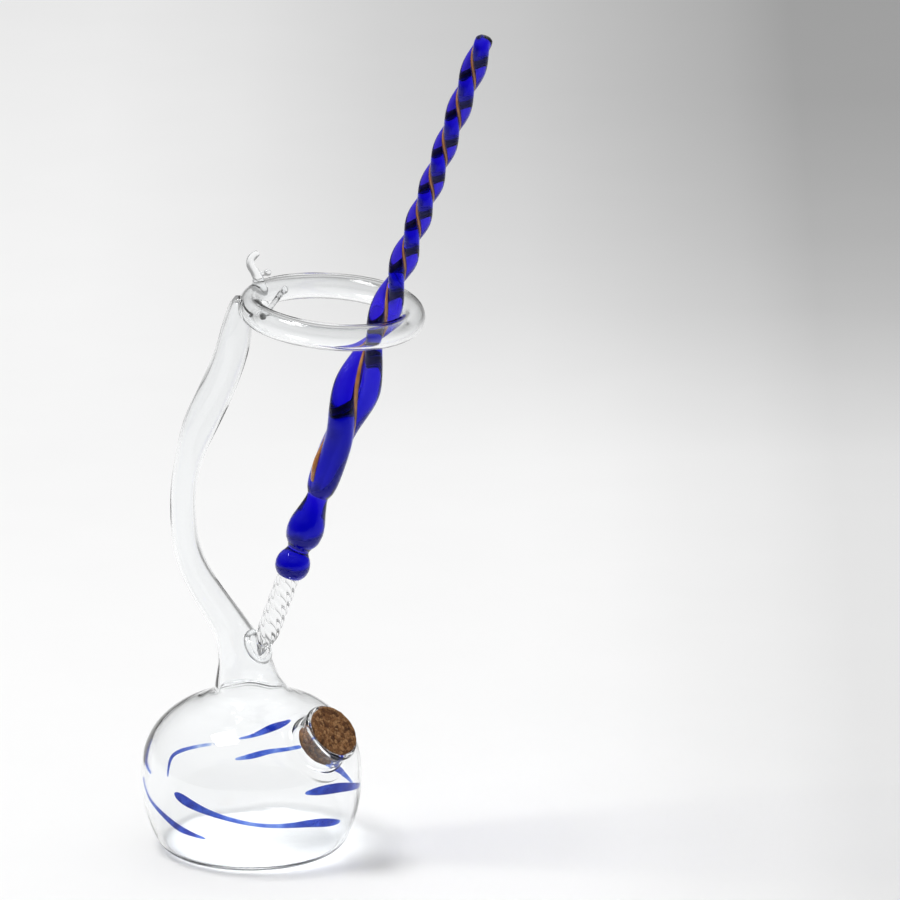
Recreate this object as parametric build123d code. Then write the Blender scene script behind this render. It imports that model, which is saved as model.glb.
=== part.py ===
from build123d import *
import math
import os

os.makedirs("parts", exist_ok=True)

# ---------------------------------------------------------------------------
# A lamp-worked glass dip pen standing in its own blown-glass ink pot.
# Millimetres. Z is up, the pot stands on z = 0 with its axis on the Z axis,
# the swan neck leans to -X and the ring reaches over to +X.
# ---------------------------------------------------------------------------

# overall sizes
PEN_LENGTH = 178.4        # tip of the nib to the end of the barrel
GLOBE_RADIUS = 29.2       # widest radius of the pot
GLOBE_EQUATOR = 19.8      # height of the widest point
GLOBE_CROWN = 22.5        # rise from the widest point to the crown
FOOT_RADIUS = 22.6        # flat that the pot stands on

# glass thicknesses
WALL = 1.5
FOOT_WALL = 2.6
TUBE_WALL = 1.1

# neck opening on top of the globe
NECK_SEAM = 43.4          # height where the globe turns into the neck
NECK_RADIUS = 9.1

PEN_GAP = 0.25            # pen to the ring and to the neck, at rest

# ring that holds the pen
RING_X = 21.3 + PEN_GAP    # far side kept clear of the leaning barrel
RING_Z = 147.3
RING_HOLE = 18.4          # radius of the hole that the pen passes through
RING_TUBE = 3.1           # half width of the tube
RING_RADIUS = RING_HOLE + RING_TUBE
RING_TALL = 3.5           # half height of the tube
RING_DROOP = 4.5          # degrees, far side down
RING_GAP = 17.0           # degrees either side of the neck taken by the weld

# pen
PEN_TILT = 19.5           # degrees from upright, towards +X
PEN_BACK = 1.4            # degrees from upright, towards +Y
TIP = (2.3, -5.05 - PEN_GAP, 54.15)
NIB_END = 23.4
NIB_RADIUS = 3.05
FLUTES = 9
FLUTE_DEPTH = 0.30
FLUTE_PITCH = 36.0        # one turn of the flutes
BALL_RADIUS = 4.65
BALL_CENTRE = 26.7
GRIP_START = 31.3
BARREL_START = 47.0
STRINGER_WIDTH = 1.3
STRINGER_DEPTH = 0.9

# spout and cork
CORK_RADIUS = 7.15        # at the outer face
CORK_LENGTH = 8.2
CORK_TAPER = 0.13         # loss of radius per mm
CORK_GAP = 0.12           # cork to bore
CORK_PROUD = 1.2          # cork standing out of the lip
SPOUT_WALL = 0.35         # spout's neck beside the cork
LIP_WALL = 0.95           # rolled lip beside the cork
LIP_RADIUS = CORK_RADIUS + LIP_WALL
LIP_HEIGHT = 1.9
SPOUT_RADIUS = CORK_RADIUS + SPOUT_WALL
SPOUT_AZIMUTH = -42.0     # where it stands on the globe, degrees from +X
SPOUT_TURN = -37.0        # where it points, degrees from +X
SPOUT_LIFT = 41.7         # degrees above level
SPOUT_STAND = 7.0         # cork face above the globe's skin

# coloured inlays in the globe's skin
INLAY_DEPTH = 0.55

POWER = 2.3               # fullness of the globe's upper half


def globe_r(z, skin=0.0):
    """Radius of the globe's outer skin at height z, less a skin depth."""
    if z >= GLOBE_EQUATOR:
        t = min(1.0, (z - GLOBE_EQUATOR) / GLOBE_CROWN)
        return GLOBE_RADIUS * (1.0 - t ** POWER) ** (1.0 / POWER) - skin
    t = (GLOBE_EQUATOR - z) / GLOBE_EQUATOR
    return GLOBE_RADIUS - (GLOBE_RADIUS - FOOT_RADIUS - 1.6) * t ** 2.6 - skin


def skin_points(inset):
    """Points up the globe's wall from the foot to the neck, set in by an amount."""
    pts = []
    for z in (6.0, 12.0, GLOBE_EQUATOR):
        pts.append((globe_r(z), z))
    for deg in (22.0, 42.0, 60.0, 70.0):
        a = math.radians(deg)
        r = GLOBE_RADIUS * math.cos(a) ** (2.0 / POWER)
        z = GLOBE_EQUATOR + GLOBE_CROWN * math.sin(a) ** (2.0 / POWER)
        pts.append((r, z))
    out = []
    for i, (r, z) in enumerate(pts):
        r0, z0 = pts[max(0, i - 1)]
        r1, z1 = pts[min(len(pts) - 1, i + 1)]
        d = math.hypot(r1 - r0, z1 - z0)
        out.append((r - inset * (z1 - z0) / d, z + inset * (r1 - r0) / d))
    return out


def globe_face(inset, foot_z):
    """Half section of the globe, set in from the outer skin."""
    pts = skin_points(inset)
    start = (FOOT_RADIUS - inset * 1.2, foot_z)
    top = (NECK_RADIUS - inset, NECK_SEAM)
    wall = [start] + pts + [top]
    edge = Spline(*[(r, 0, z) for r, z in wall],
                  tangents=[(0.85, 0, 0.5), (-0.25, 0, 1.0)])
    floor = Line((0, 0, foot_z), (start[0], 0, foot_z))
    lid = Line((top[0], 0, NECK_SEAM), (0, 0, NECK_SEAM))
    axis = Line((0, 0, NECK_SEAM), (0, 0, foot_z))
    return make_face([floor, edge, lid, axis])


def main_solid(shape):
    """The largest solid, so crumbs left by a cut are dropped."""
    return sorted(shape.solids(), key=lambda q: q.volume)[-1]


def bead_chain(rows, y_axis=(0, 1, 0)):
    """Smooth solid through round sections: rows of (point, radius)."""
    line = Spline(*[p for p, r in rows])
    secs = []
    for p, r in rows:
        t = line % line.param_at_point(p)
        x_dir = y_axis if y_axis else Vector(-p[0], -p[1], 0).cross(t)
        secs.append(Plane(origin=p, x_dir=x_dir, z_dir=t) * Circle(r))
    return loft(secs)


# ------------------------------------------------------------------ globe
globe_full = revolve(globe_face(0.0, 0.0), Axis.Z, 360)
globe_hollow = revolve(globe_face(WALL, FOOT_WALL), Axis.Z, 360)

# spout frame: origin in the cork's outer face, z along the way the cork pulls
az = math.radians(SPOUT_AZIMUTH)
way = math.radians(SPOUT_TURN)
lift = math.radians(SPOUT_LIFT)
spout_dir = Vector(math.cos(lift) * math.cos(way), math.cos(lift) * math.sin(way), math.sin(lift))
foot_t = 0.615
foot_r = GLOBE_RADIUS * (1.0 - foot_t ** POWER) ** (1.0 / POWER)
spout_foot = Vector(foot_r * math.cos(az), foot_r * math.sin(az), GLOBE_EQUATOR + GLOBE_CROWN * foot_t)
cork_face = spout_foot + spout_dir * SPOUT_STAND
spout_plane = Plane(origin=cork_face, x_dir=(math.sin(way), -math.cos(way), 0), z_dir=spout_dir)


def turned(points):
    """Solid of revolution about the local Z axis from (radius, height) corners."""
    pts = [(r, 0, h) for r, h in points]
    return revolve(make_face([Polyline(*pts, close=True)]), Axis.Z, 360)


def cork_r(h):
    return CORK_RADIUS + CORK_TAPER * h


bore = turned([(0, 2.0), (cork_r(2.0) + CORK_GAP, 2.0),
               (cork_r(-CORK_LENGTH) + CORK_GAP, -CORK_LENGTH),
               (cork_r(-CORK_LENGTH) + CORK_GAP, -CORK_LENGTH - 5.0), (0, -CORK_LENGTH - 5.0)])
bore = spout_plane * bore

# ------------------------------------------------------------------ spout
lip_top = -CORK_PROUD
lip_low = lip_top - LIP_HEIGHT
spout_edge = [
    Line((5.0, 0, lip_top), (LIP_RADIUS - 0.9, 0, lip_top)),
    Spline((LIP_RADIUS - 0.9, 0, lip_top), (LIP_RADIUS, 0, lip_top - 0.5 * LIP_HEIGHT),
           (SPOUT_RADIUS + 0.15, 0, lip_low), tangents=[(1, 0, 0), (-1, 0, -0.6)]),
    Spline((SPOUT_RADIUS + 0.15, 0, lip_low), (SPOUT_RADIUS + 0.25, 0, lip_low - 1.1),
           (SPOUT_RADIUS + 1.2, 0, lip_low - 3.0), (SPOUT_RADIUS + 3.4, 0, lip_low - 5.6),
           tangents=[(-0.1, 0, -1), (1, 0, -0.75)]),
    Line((SPOUT_RADIUS + 3.4, 0, lip_low - 5.6), (5.0, 0, lip_low - 5.6)),
    Line((5.0, 0, lip_low - 5.6), (5.0, 0, lip_top)),
]
spout_full = spout_plane * revolve(make_face(spout_edge), Axis.Z, 360)
spout = spout_full - bore - globe_full

globe_shell = globe_full - globe_hollow - bore

# ------------------------------------------------------------------ inlaid streaks
skin_core = revolve(globe_face(INLAY_DEPTH, INLAY_DEPTH), Axis.Z, 360)
skin = globe_full - skin_core

# each streak: (degrees round from +X, share of the way up to the neck, half width)
STREAKS = {
    "streak_front": [(-132, 0.477, 1.5), (-110, 0.40, 0.9), (-83, 0.336, 0.7), (-57, 0.313, 1.3), (-33, 0.26, 0.7)],
    "streak_left": [(-169, 0.456, 0.6), (-157, 0.37, 0.7), (-142, 0.315, 0.9), (-129, 0.25, 1.4), (-115, 0.226, 0.6)],
    "streak_back": [(146, 0.30, 0.6), (140, 0.419, 1.0), (124, 0.442, 0.9), (113, 0.442, 0.6)],
    "streak_shoulder": [(-96, 0.843, 0.5), (-76, 0.873, 0.8), (-55, 0.890, 1.1)],
    "streak_middle": [(-97, 0.74, 0.6), (-77, 0.772, 0.8), (-57, 0.774, 0.6)],
    "streak_spout": [(-47, 0.60, 0.8), (-36, 0.59, 0.7), (-29, 0.57, 0.6), (-24, 0.54, 0.5)],
    "streak_right": [(-58, 0.514, 0.9), (-36, 0.485, 1.2), (-7, 0.408, 0.8)],
    "streak_edge": [(-171, 0.675, 0.7), (-166, 0.58, 0.8), (-154, 0.54, 0.6)],
}

streaks = {}
for name, rows in STREAKS.items():
    chain = []
    for deg, share, half in rows:
        h = share * NECK_SEAM
        r = globe_r(h, 0.25)
        chain.append(((r * math.cos(math.radians(deg)), r * math.sin(math.radians(deg)), h), half))
    cut = bead_chain(chain, y_axis=None) & skin
    cut = main_solid(cut) - bore
    streaks[name] = cut
    globe_shell = globe_shell - cut

# ------------------------------------------------------------------ swan neck
NECK_LINE = [  # (x, z, outer radius) above the seam
    (0.0, 0.0, NECK_RADIUS), (-0.95, 2.6, 8.35), (-1.75, 7.4, 7.1), (-2.9, 11.2, 6.1), (-5.5, 17.0, 4.9),
    (-8.4, 21.8, 4.4), (-11.8, 27.3, 4.1), (-16.1, 36.5, 3.75), (-17.7, 47.0, 3.45), (-17.5, 56.0, 3.45),
    (-16.0, 64.0, 3.75), (-13.8, 71.0, 4.4), (-11.0, 77.5, 4.7), (-6.5, 88.0, 4.5), (-4.4, 93.5, 4.3),
    (-2.9, 99.5, 4.0), (-2.0, 103.6, 3.7),
]


def neck_solid(inset):
    line = Spline(*[(x, 0, NECK_SEAM + z) for x, z, r in NECK_LINE],
                  tangents=[(0, 0, 1), (0.25, 0, 1.0)])
    secs = []
    for x, z, r in NECK_LINE:
        p = (x, 0, NECK_SEAM + z)
        t = line % line.param_at_point(p)
        secs.append(Plane(origin=p, x_dir=(0, 1, 0), z_dir=t) * Circle(r - inset))
    return loft(secs)


neck_full = neck_solid(0.0)
neck_core = neck_solid(TUBE_WALL)

# ------------------------------------------------------------------ ring
ring_place = Pos(RING_X, 0, RING_Z) * Rot(0, RING_DROOP, 0)


def ring_arc(wall, start, sweep):
    """Piece of the ring's tube; wall 0 makes it solid."""
    place = Plane(origin=(RING_RADIUS, 0, 0), x_dir=(1, 0, 0), z_dir=(0, -1, 0))
    face = place * Ellipse(RING_TUBE, RING_TALL)
    if wall > 0:
        face = face - place * Ellipse(RING_TUBE - wall, RING_TALL - wall)
    body = revolve(face, Axis.Z, sweep)
    return ring_place * (Rot(0, 0, start) * body)


ring_full = ring_arc(0, 0, 360)
holder_ring = ring_arc(TUBE_WALL, 180.0 + RING_GAP, 360.0 - 2 * RING_GAP)
knot_arc = ring_arc(0, 180.0 - RING_GAP, 2 * RING_GAP)
left_end = Vector(RING_X - RING_RADIUS * math.cos(math.radians(RING_DROOP)), 0,
                  RING_Z + RING_RADIUS * math.sin(math.radians(RING_DROOP)))
knot_ball = Pos(left_end.X - 0.9, 0, left_end.Z - 0.9) * Sphere(3.9)
weld_bead = Pos(left_end.X + 3.5, 0, left_end.Z - 0.4) * Sphere(1.5)
knot = knot_arc + knot_ball
ring_knot = knot + weld_bead
swan_neck = neck_full - neck_core - knot

# ------------------------------------------------------------------ brace across the ring
brace_a = Vector(RING_X - 12.2, 15.6, RING_Z + 1.2)
brace_b = Vector(RING_X - 17.2, -8.6, RING_Z + 1.2)
span = brace_b - brace_a
brace = Plane(origin=brace_a, z_dir=span) * Cylinder(0.8, span.length, align=(Align.CENTER, Align.CENTER, Align.MIN))
ring_brace = brace - ring_full

# ------------------------------------------------------------------ curled tail on the ring
TAIL_Y = 8.5
tail_x = RING_X - math.sqrt(RING_RADIUS ** 2 - TAIL_Y ** 2)
tail_z = RING_Z + 1.55
tail = bead_chain([((tail_x + 0.5, TAIL_Y, tail_z + 1.9), 1.6), ((tail_x + 0.25, TAIL_Y, tail_z + 5.0), 1.3),
                   ((tail_x - 1.05, TAIL_Y, tail_z + 7.9), 1.15), ((tail_x - 1.35, TAIL_Y, tail_z + 9.7), 1.1),
                   ((tail_x - 0.1, TAIL_Y, tail_z + 11.4), 0.95)])
tail_ball = Pos(tail_x + 2.9, TAIL_Y, tail_z + 6.4) * Sphere(1.0)
stub_a = Vector(tail_x + 0.2, TAIL_Y, tail_z + 5.6)
stub = Vector(tail_x + 2.9, TAIL_Y, tail_z + 6.4) - stub_a
tail_stub = Plane(origin=stub_a, z_dir=stub) * Cylinder(0.6, stub.length, align=(Align.CENTER, Align.CENTER, Align.MIN))
ring_tail = (tail + tail_ball + tail_stub) - ring_full - knot

# ------------------------------------------------------------------ pen rest on the neck
REST_CENTRE = (1.9, -4.2, 56.2)
REST_NORMAL = (0.72, -0.40, 0.57)
rest_plane = Plane(origin=REST_CENTRE, z_dir=REST_NORMAL)
rest_eye = rest_plane * Torus(4.15, 0.85)
rest_bead = rest_plane * (Rot(0, 0, 20) * (Pos(4.3, 0, 0) * Sphere(1.15)))

# ------------------------------------------------------------------ pen
scale = PEN_LENGTH / 180.0
tilt = math.radians(PEN_TILT)
back = math.radians(PEN_BACK)
pen_dir = Vector(math.sin(tilt), math.cos(tilt) * math.sin(back), math.cos(tilt) * math.cos(back))
pen_plane = Plane(origin=TIP, x_dir=(math.cos(tilt), 0, -math.sin(tilt) / math.cos(back)), z_dir=pen_dir)


def smooth(x, table, col=1):
    """Smooth curve through the rows of a short table, read at x."""
    xs = [row[0] for row in table]
    ys = [row[col] for row in table]
    n = len(xs)
    if x <= xs[0]:
        return ys[0]
    if x >= xs[-1]:
        return ys[-1]
    i = max(k for k in range(n - 1) if xs[k] <= x)
    sl = [(ys[k + 1] - ys[k]) / (xs[k + 1] - xs[k]) for k in range(n - 1)]

    def tangent(k):
        if k == 0 or k == n - 1:
            return sl[min(k, n - 2)]
        a, b = sl[k - 1], sl[k]
        if a * b <= 0:
            return 0.0
        return 2 * a * b / (a + b)
    h = xs[i + 1] - xs[i]
    t = (x - xs[i]) / h
    a = (2 * t ** 3 - 3 * t ** 2 + 1) * ys[i] + (t ** 3 - 2 * t ** 2 + t) * h * tangent(i)
    b = (-2 * t ** 3 + 3 * t ** 2) * ys[i + 1] + (t ** 3 - t ** 2) * h * tangent(i + 1)
    return a + b


def closed_face(pts):
    """Face inside a smooth closed curve through points."""
    along = (pts[1][0] - pts[-1][0], pts[1][1] - pts[-1][1])
    return make_face(Spline(*pts, pts[0], tangents=[along, along]))


# nib: a fluted, twisted rod that closes to a point
NIB = [(0.0, 0.45), (1.2, 1.05), (3.0, 1.85), (5.0, 2.6), (7.5, 3.0), (12.0, NIB_RADIUS),
       (18.0, NIB_RADIUS), (NIB_END, NIB_RADIUS - 0.05)]


def nib_section(s):
    r = smooth(s, NIB)
    turn = 2 * math.pi * s / FLUTE_PITCH
    pts = []
    for k in range(FLUTES * 4):
        a = 2 * math.pi * k / (FLUTES * 4)
        cut = FLUTE_DEPTH * min(1.0, r / 2.0) * (0.5 - 0.5 * math.cos(FLUTES * a))
        rr = r - cut
        pts.append((rr * math.cos(a - turn), rr * math.sin(a - turn)))
    return Pos(0, 0, s * scale) * closed_face(pts)


nib_stations = [0.0, 1.2, 3.0, 5.0, 7.5, 10.0, 12.5, 15.0, 17.5, 20.0, NIB_END]
nib = loft([nib_section(s) for s in nib_stations])

# ball and grip
ball_low = math.sqrt(BALL_RADIUS ** 2 - (BALL_CENTRE - NIB_END) ** 2)
ball_edge = [
    Line((0, 0, NIB_END * scale), (ball_low, 0, NIB_END * scale)),
    Spline((ball_low, 0, NIB_END * scale), (BALL_RADIUS, 0, BALL_CENTRE * scale),
           (3.7, 0, (BALL_CENTRE + 2.75) * scale), (2.95, 0, GRIP_START * scale),
           tangents=[(1, 0, 1), (0, 0, 1)]),
    Line((2.95, 0, GRIP_START * scale), (0, 0, GRIP_START * scale)),
    Line((0, 0, GRIP_START * scale), (0, 0, NIB_END * scale)),
]
collar_ball = revolve(make_face(ball_edge), Axis.Z, 360)
grip_edge = [
    Line((0, 0, GRIP_START * scale), (2.95, 0, GRIP_START * scale)),
    Spline((2.95, 0, GRIP_START * scale), (4.3, 0, 33.8 * scale), (4.9, 0, 37.0 * scale),
           (4.05, 0, 41.6 * scale), (2.8, 0, BARREL_START * scale), tangents=[(0.25, 0, 1), (-0.05, 0, 1)]),
    Line((2.8, 0, BARREL_START * scale), (0, 0, BARREL_START * scale)),
    Line((0, 0, BARREL_START * scale), (0, 0, GRIP_START * scale)),
]
grip_bead = revolve(make_face(grip_edge), Axis.Z, 360)

# barrel: two strands fused side by side and twisted left-handed
# (station, half width over both strands, radius of a strand)
BARREL = [(47.0, 2.85, 2.8), (49.0, 3.9, 3.2), (51.6, 4.45, 3.5), (54.0, 4.7, 3.6), (62.9, 5.3, 3.7), (70.0, 6.0, 3.6),
          (78.0, 6.25, 3.1), (86.0, 5.5, 2.6), (92.0, 4.75, 2.35), (101.0, 4.25, 2.25), (109.5, 3.9, 2.2),
          (127.0, 3.3, 2.15), (148.0, 3.1, 2.12), (170.0, 3.3, 2.25), (176.5, 3.1, 2.2), (179.2, 2.35, 1.9), (180.0, 1.3, 1.2)]
VALLEY = 0.80             # depth of the valleys as a share of a strand's radius
# half turns made by each station
TWIST = [(47.0, -0.24), (54.0, -0.12), (62.9, 0.0), (77.5, 0.5), (91.8, 1.0), (109.5, 2.0), (121.7, 3.0),
         (132.4, 4.0), (142.6, 5.0), (153.2, 6.0), (164.5, 7.0), (180.0, 8.3)]


def twist_at(s):
    """Angle of the lobes at a station, degrees, 90 facing square to the lean."""
    return 90.0 - 180.0 * smooth(s, TWIST)


def barrel_r(s, q):
    """Radius at angle q from the strands' common line: two circles with their valleys filled."""
    a = smooth(s, BARREL, 1)
    b = smooth(s, BARREL, 2)
    off = a - b
    strand = off * abs(math.cos(q)) + math.sqrt(max(b * b - (off * math.sin(q)) ** 2, 0.0))
    fill = VALLEY * b
    return (strand ** 8 + fill ** 8) ** 0.125


def barrel_section(s):
    turn = math.radians(twist_at(s))
    pts = []
    for k in range(16):
        q = 2 * math.pi * k / 16
        r = barrel_r(s, q)
        pts.append((r * math.cos(q + turn), r * math.sin(q + turn)))
    return Pos(0, 0, s * scale) * closed_face(pts)


def stringer_section(s, side):
    b = barrel_r(s, 0.5 * math.pi)
    turn = math.radians(twist_at(s) + 90.0 * side)
    pitch = abs(twist_at(s + 0.5) - twist_at(s - 0.5)) / 360.0
    lean = math.hypot(1.0, 2 * math.pi * b * pitch / scale)
    hw = 0.5 * STRINGER_WIDTH * lean
    hd = 0.5 * STRINGER_DEPTH
    mid = b - 0.25
    pts = []
    for k in range(8):
        q = 2 * math.pi * k / 8
        ang = turn + hw * math.sin(q) / mid
        r = mid + hd * math.cos(q)
        pts.append((r * math.cos(ang), r * math.sin(ang)))
    return Pos(0, 0, s * scale) * closed_face(pts)


def stations(start, end, step):
    """Stations between two marks, a fixed part of a turn apart."""
    total = abs(twist_at(end) - twist_at(start))
    n = max(4, math.ceil(total / step))
    out = [start]
    for k in range(1, n):
        want = total * k / n
        lo, hi = start, end
        for _ in range(40):
            mid = 0.5 * (lo + hi)
            if abs(twist_at(mid) - twist_at(start)) < want:
                lo = mid
            else:
                hi = mid
        out.append(0.5 * (lo + hi))
    return out + [end]


def barrel_loft(marks):
    return loft([barrel_section(s) for s in marks])


low_marks = stations(BARREL_START, 109.5, 30.0)
high_marks = stations(109.5, 177.5, 30.0) + [178.5, 179.3, PEN_LENGTH / scale]
barrel = barrel_loft(low_marks + high_marks[1:])
string_marks = stations(56.0, 176.0, 22.5)
stringer_a = loft([stringer_section(s, 1) for s in string_marks])
stringer_b = loft([stringer_section(s, -1) for s in string_marks])

pen = {
    "nib": nib,
    "collar_ball": collar_ball,
    "grip_bead": grip_bead,
    "barrel": barrel,
    "amber_stringer_a": stringer_a,
    "amber_stringer_b": stringer_b,
}
pen = {name: pen_plane * solid for name, solid in pen.items()}

# cork
cork_stopper = spout_plane * turned([
    (0, 0), (CORK_RADIUS - 0.5, 0), (cork_r(-0.5), -0.5),
    (cork_r(-CORK_LENGTH + 0.5), -CORK_LENGTH + 0.5), (cork_r(-CORK_LENGTH) - 0.5, -CORK_LENGTH), (0, -CORK_LENGTH)])

pen_rest = (rest_eye + rest_bead) - neck_full

nodes = {
    "globe": globe_shell,
    "swan_neck": swan_neck,
    "ring_knot": ring_knot,
    "holder_ring": holder_ring,
    "ring_brace": ring_brace - ring_knot,
    "ring_tail": ring_tail,
    "pen_rest": pen_rest,
    "spout": spout,
    "cork_stopper": cork_stopper,
}
nodes.update(streaks)
nodes.update(pen)


for name, shape in nodes.items():
    export_step(main_solid(shape), "parts/" + name + ".step")
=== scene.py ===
import math
import bpy
import numpy as np
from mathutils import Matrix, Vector


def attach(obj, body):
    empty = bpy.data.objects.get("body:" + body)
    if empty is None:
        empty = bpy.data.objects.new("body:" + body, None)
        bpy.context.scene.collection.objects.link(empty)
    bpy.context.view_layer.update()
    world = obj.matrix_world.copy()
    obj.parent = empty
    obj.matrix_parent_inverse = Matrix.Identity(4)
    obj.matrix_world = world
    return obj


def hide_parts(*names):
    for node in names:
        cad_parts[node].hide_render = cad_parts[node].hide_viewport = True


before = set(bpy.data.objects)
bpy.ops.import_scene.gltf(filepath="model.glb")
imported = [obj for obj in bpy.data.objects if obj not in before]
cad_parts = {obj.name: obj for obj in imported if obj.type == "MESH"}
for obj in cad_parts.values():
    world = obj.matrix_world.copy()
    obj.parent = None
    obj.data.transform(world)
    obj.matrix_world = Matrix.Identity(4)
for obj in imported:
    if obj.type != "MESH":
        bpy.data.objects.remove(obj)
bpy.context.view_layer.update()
MM = 0.001
TAU = 2.0 * math.pi


# ---------------------------------------------------------------- curves and grids
def curve(x, xs, ys):
    """Natural cubic spline through (xs, ys), read at every x: in each span the cubic
    whose slope and bend match its neighbours, with no bend at the two ends."""
    xs = np.asarray(xs, float)
    ys = np.asarray(ys, float)
    h = np.diff(xs)
    n = len(xs)
    a = np.eye(n)
    b = np.zeros(n)
    i = np.arange(1, n - 1)
    a[i, i - 1] = h[:-1]
    a[i, i] = 2.0 * (h[:-1] + h[1:])
    a[i, i + 1] = h[1:]
    b[1:-1] = 6.0 * np.diff(np.diff(ys) / h)
    m = np.linalg.solve(a, b)
    x = np.clip(np.asarray(x, float), xs[0], xs[-1])
    k = np.clip(np.searchsorted(xs, x) - 1, 0, n - 2)
    p = (xs[k + 1] - x) / h[k]
    q = (x - xs[k]) / h[k]
    bend = ((p ** 3 - p) * m[k] + (q ** 3 - q) * m[k + 1]) * h[k] ** 2 / 6.0
    return p * ys[k] + q * ys[k + 1] + bend


def hermite(x, xs, ys):
    """Monotone cubic through (xs, ys): end slopes of each span are the harmonic mean of
    the chords beside them, so the curve never overshoots its points."""
    xs = np.asarray(xs, float)
    ys = np.asarray(ys, float)
    h = np.diff(xs)
    c = np.diff(ys) / h
    both = c[:-1] * c[1:]
    inner = np.where(both > 0, 2.0 * both / np.where(both > 0, c[:-1] + c[1:], 1.0), 0.0)
    t = np.concatenate([c[:1], inner, c[-1:]])
    x = np.clip(np.asarray(x, float), xs[0], xs[-1])
    k = np.clip(np.searchsorted(xs, x) - 1, 0, len(xs) - 2)
    q = (x - xs[k]) / h[k]
    lo = (2 * q ** 3 - 3 * q ** 2 + 1) * ys[k] + (q ** 3 - 2 * q ** 2 + q) * h[k] * t[k]
    hi = (-2 * q ** 3 + 3 * q ** 2) * ys[k + 1] + (q ** 3 - q ** 2) * h[k] * t[k + 1]
    return lo + hi


def unit(v):
    return v / np.maximum(np.linalg.norm(v, axis=-1, keepdims=True), 1e-12)


def sides(path, ref):
    """Two directions square to a path: ref less its part along the path, and their cross."""
    t = unit(np.gradient(path, axis=0))
    e2 = unit(ref - t * (t @ ref)[:, None])
    return np.cross(e2, t), e2


def tube(path, radius, around, ref=(0.0, 1.0, 0.0)):
    """Point (v, u) = path(v) + radius(v) * (cos u * side one + sin u * side two)."""
    e1, e2 = sides(path, np.asarray(ref, float))
    u = np.arange(around) * TAU / around
    r = radius[:, None]
    return (path[:, None, :] + (r * np.cos(u))[..., None] * e1[:, None, :]
            + (r * np.sin(u))[..., None] * e2[:, None, :])


def round_ends(path, radius, rows=7):
    """Adds a domed end to both ends of a path: centre moves on by r cos a while the
    radius falls as r sin a, for a from a right angle to nearly nothing."""
    a = np.linspace(0.03, 0.5 * math.pi, rows + 1)[:-1]
    t0 = unit(path[1] - path[0])
    t1 = unit(path[-1] - path[-2])
    head = path[0] - t0 * (radius[0] * np.cos(a))[:, None]
    tail = path[-1] + t1 * (radius[-1] * np.cos(a[::-1]))[:, None]
    rr = np.concatenate([radius[0] * np.sin(a), radius, radius[-1] * np.sin(a[::-1])])
    return np.concatenate([head, path, tail]), rr


def resample(points, count):
    """Evenly spaced points on the natural spline through a few points."""
    points = np.asarray(points, float)
    d = np.concatenate([[0.0], np.cumsum(np.linalg.norm(np.diff(points, axis=0), axis=1))])
    fine = np.linspace(0, d[-1], 400)
    p = np.stack([curve(fine, d, points[:, k]) for k in range(3)], axis=1)
    s = np.concatenate([[0.0], np.cumsum(np.linalg.norm(np.diff(p, axis=0), axis=1))])
    want = np.linspace(0, s[-1], count)
    return np.stack([np.interp(want, s, p[:, k]) for k in range(3)], axis=1), want / s[-1], d / d[-1]


def skin(grid, closed=False):
    """Vertices and faces of a grid that wraps in its second direction. Its two open ends
    are closed to a point at their middle, or joined to each other when closed is set."""
    nv, nu = grid.shape[:2]
    idx = np.arange(nv * nu).reshape(nv, nu)
    nxt = np.roll(idx, -1, axis=1)
    if closed:
        up, upn = np.roll(idx, -1, axis=0), np.roll(nxt, -1, axis=0)
        quads = np.stack([idx, nxt, upn, up], axis=-1).reshape(-1, 4)
        verts = grid.reshape(-1, 3)
        tris = np.zeros((0, 3), int)
    else:
        quads = np.stack([idx[:-1], nxt[:-1], nxt[1:], idx[1:]], axis=-1).reshape(-1, 4)
        ends = [grid[0].mean(axis=0), grid[-1].mean(axis=0)]
        verts = np.concatenate([grid.reshape(-1, 3), ends])
        a, b = nv * nu, nv * nu + 1
        low = np.stack([nxt[0], idx[0], np.full(nu, a)], axis=-1)
        high = np.stack([idx[-1], nxt[-1], np.full(nu, b)], axis=-1)
        tris = np.concatenate([low, high])
    p = verts - verts.mean(axis=0)
    q = p[quads]
    vol = np.einsum("ij,ij->i", q[:, 0], np.cross(q[:, 1], q[:, 2])).sum()
    vol += np.einsum("ij,ij->i", q[:, 0], np.cross(q[:, 2], q[:, 3])).sum()
    if len(tris):
        w = p[tris]
        vol += np.einsum("ij,ij->i", w[:, 0], np.cross(w[:, 1], w[:, 2])).sum()
    if vol < 0:
        quads = quads[:, ::-1]
        tris = tris[:, ::-1]
    return verts, quads, tris


def solid(name, closed_skin):
    """One smooth mesh object from the vertices, quads and triangles of a closed skin."""
    verts, quads, tris = closed_skin
    mesh = bpy.data.meshes.new(name)
    mesh.from_pydata((verts * MM).tolist(), [], quads.tolist() + tris.tolist())
    mesh.shade_smooth()
    mesh.update()
    obj = bpy.data.objects.new(name, mesh)
    bpy.context.scene.collection.objects.link(obj)
    return obj


def finish_piece(obj, material, body, slot, *nodes):
    """Gives a piece its finish and its body, and hides the plain solids it stands for. slot is not used."""
    obj.data.materials.clear()
    obj.data.materials.append(material)
    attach(obj, body)
    if nodes:
        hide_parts(*nodes)
    return obj


def carve(obj, steps):
    """Joins solids to obj or cuts them from it, one after the other, and keeps the result."""
    for mode, tool in steps:
        m = obj.modifiers.new(mode, "BOOLEAN")
        m.operation = mode
        m.solver = "EXACT"
        m.object = tool
    deps = bpy.context.evaluated_depsgraph_get()
    done = bpy.data.meshes.new_from_object(obj.evaluated_get(deps))
    obj.modifiers.clear()
    obj.data = done
    done.shade_smooth()
    for mode, tool in steps:
        bpy.data.objects.remove(tool, do_unlink=True)
    return obj


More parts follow.
